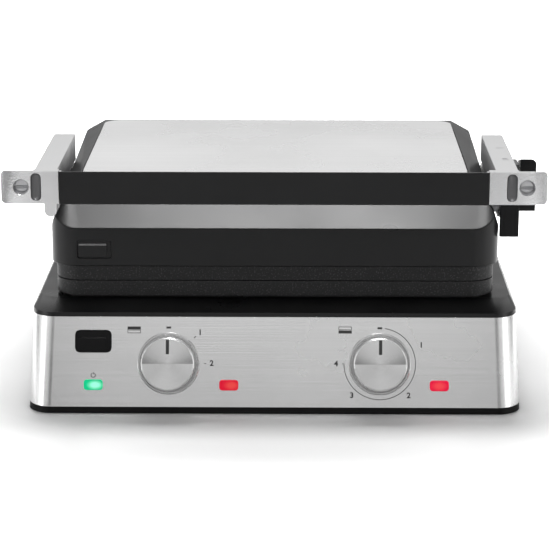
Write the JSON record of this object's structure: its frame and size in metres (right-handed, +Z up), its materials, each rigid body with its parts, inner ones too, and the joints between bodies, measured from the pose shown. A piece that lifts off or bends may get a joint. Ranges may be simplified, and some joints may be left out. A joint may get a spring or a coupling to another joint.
{
  "type": "electric indoor grill with lid",
  "caption": "Countertop contact grill: sloping brushed steel control panel, ribbed cooking plates, hinged floating lid on cast side arms with a full-width handle, height adjuster and drip tray.",
  "frame": {"origin": "on the table, under the middle of the bounding box", "axes": "+Z up, the front with its controls and handle faces -Y, +X to the right seen from the front"},
  "size_m": [0.3896, 0.352, 0.1856],
  "materials": {
    "brushed_steel": "brushed along its length",
    "dial_metal": "spun face, satin",
    "ring_chrome": "polished",
    "cast_alloy": "fine satin cast",
    "black_plastic": "satin moulded",
    "gloss_black": "gloss",
    "dark_plastic": "matt moulded",
    "black_enamel": "satin heat-proof moulding",
    "plate_coating": "die-cast, with a dark speckled non-stick coating",
    "zinc_steel": "plain",
    "bright_sheet": "plain sheet",
    "heater_tube": "heat-darkened",
    "cream_insulator": "matt, stands in for ceramic",
    "board_green": "matt",
    "rubber": "matt",
    "lens_green": "glossy, lit from behind",
    "lens_red": "glossy, lit from behind"
  },
  "bodies": {
    "base": {"base_pan": "black_plastic", "base_deck": "black_plastic", "control_panel": "brushed_steel", "control_frame": "dark_plastic", "rubber_feet": "rubber", "base_screws": "zinc_steel", "lower_reflector": "bright_sheet", "lower_element": "heater_tube", "lower_element_bushings": "cream_insulator", "lower_plate": "plate_coating", "plate_hooks": "zinc_steel", "grease_spout": "bright_sheet", "left_thermostat": "cream_insulator", "right_thermostat": "cream_insulator", "indicator_board": "board_green", "indicator_lamps": "cream_insulator", "power_lens": "lens_green", "left_ready_lens": "lens_red", "right_ready_lens": "lens_red", "terminal_block": "cream_insulator", "cord_gland": "rubber", "left_dial_ring": "ring_chrome", "right_dial_ring": "ring_chrome", "left_hinge_bracket": "zinc_steel", "right_hinge_bracket": "zinc_steel", "base_button_spring": "zinc_steel"},
    "left_dial": {"left_dial": "dial_metal", "left_dial_cap": "brushed_steel", "left_dial_pointer": "gloss_black", "left_dial_shaft": "zinc_steel"},
    "right_dial": {"right_dial": "dial_metal", "right_dial_cap": "brushed_steel", "right_dial_pointer": "gloss_black", "right_dial_shaft": "zinc_steel"},
    "release_button": {"base_release_button": "gloss_black", "base_latch_hook": "zinc_steel"},
    "drip_tray": {"drip_tray": "black_plastic"},
    "hinge": {"left_hinge_pin": "zinc_steel", "right_hinge_pin": "zinc_steel"},
    "arms": {"left_arm": "cast_alloy", "right_arm": "cast_alloy", "left_bracket": "cast_alloy", "right_bracket": "cast_alloy", "handle_bar": "black_plastic", "handle_back": "black_plastic", "handle_screws": "zinc_steel", "adjuster_housing": "gloss_black"},
    "adjuster": {"adjuster_slide": "dark_plastic", "adjuster_thumb": "gloss_black"},
    "lid": {"lid_shell": "black_enamel", "lid_top_panel": "brushed_steel", "upper_reflector": "bright_sheet", "upper_element": "heater_tube", "upper_plate": "plate_coating", "thermal_cutout": "cream_insulator", "lid_hinge_straps": "zinc_steel", "guide_pins": "zinc_steel", "lid_button_spring": "zinc_steel"},
    "lid_button": {"lid_release_button": "gloss_black", "lid_latch_hook": "zinc_steel"}
  },
  "joints": [
    {"name": "hinge_float", "type": "slide", "parent": "base", "child": "hinge", "axis": [0, 0, 1], "range_m": [0, 0.01]},
    {"name": "arms_hinge", "type": "hinge", "parent": "hinge", "child": "arms", "pos_m": [0, 0.158, 0.095], "axis": [-1, 0, 0], "range_deg": [0, 180]},
    {"name": "height_adjuster", "type": "slide", "parent": "arms", "child": "adjuster", "axis": [0, 1, 0], "range_m": [0, 0.03]},
    {"name": "lid_tilt", "type": "hinge", "parent": "arms", "child": "lid", "pos_m": [0, 0.158, 0.095], "axis": [-1, 0, 0], "range_deg": [0, 1.8]},
    {"name": "left_dial_turn", "type": "hinge", "parent": "base", "child": "left_dial", "pos_m": [-0.078, -0.15511, 0.036], "axis": [0, 0.9613, -0.2756], "range_deg": [0, 90]},
    {"name": "right_dial_turn", "type": "hinge", "parent": "base", "child": "right_dial", "pos_m": [0.078, -0.15511, 0.036], "axis": [0, 0.9613, -0.2756], "range_deg": [0, 270]},
    {"name": "base_release_press", "type": "slide", "parent": "base", "child": "release_button", "axis": [0, 0.9613, -0.2756], "range_m": [0, 0.0025], "stiffness_N_per_m": 600, "springref_m": -0.002, "deforming": ["base_button_spring"]},
    {"name": "lid_release_press", "type": "slide", "parent": "lid", "child": "lid_button", "axis": [0, 1, 0], "range_m": [0, 0.0025], "stiffness_N_per_m": 600, "springref_m": -0.002, "deforming": ["lid_button_spring"]},
    {"name": "drip_tray_slide", "type": "slide", "parent": "base", "child": "drip_tray", "axis": [0, 1, 0], "range_m": [0, 0.09]}
  ],
  "couplings": [
    {"joint": "lid_tilt", "follows": "height_adjuster", "rad_per_m": 1.0472}
  ]
}
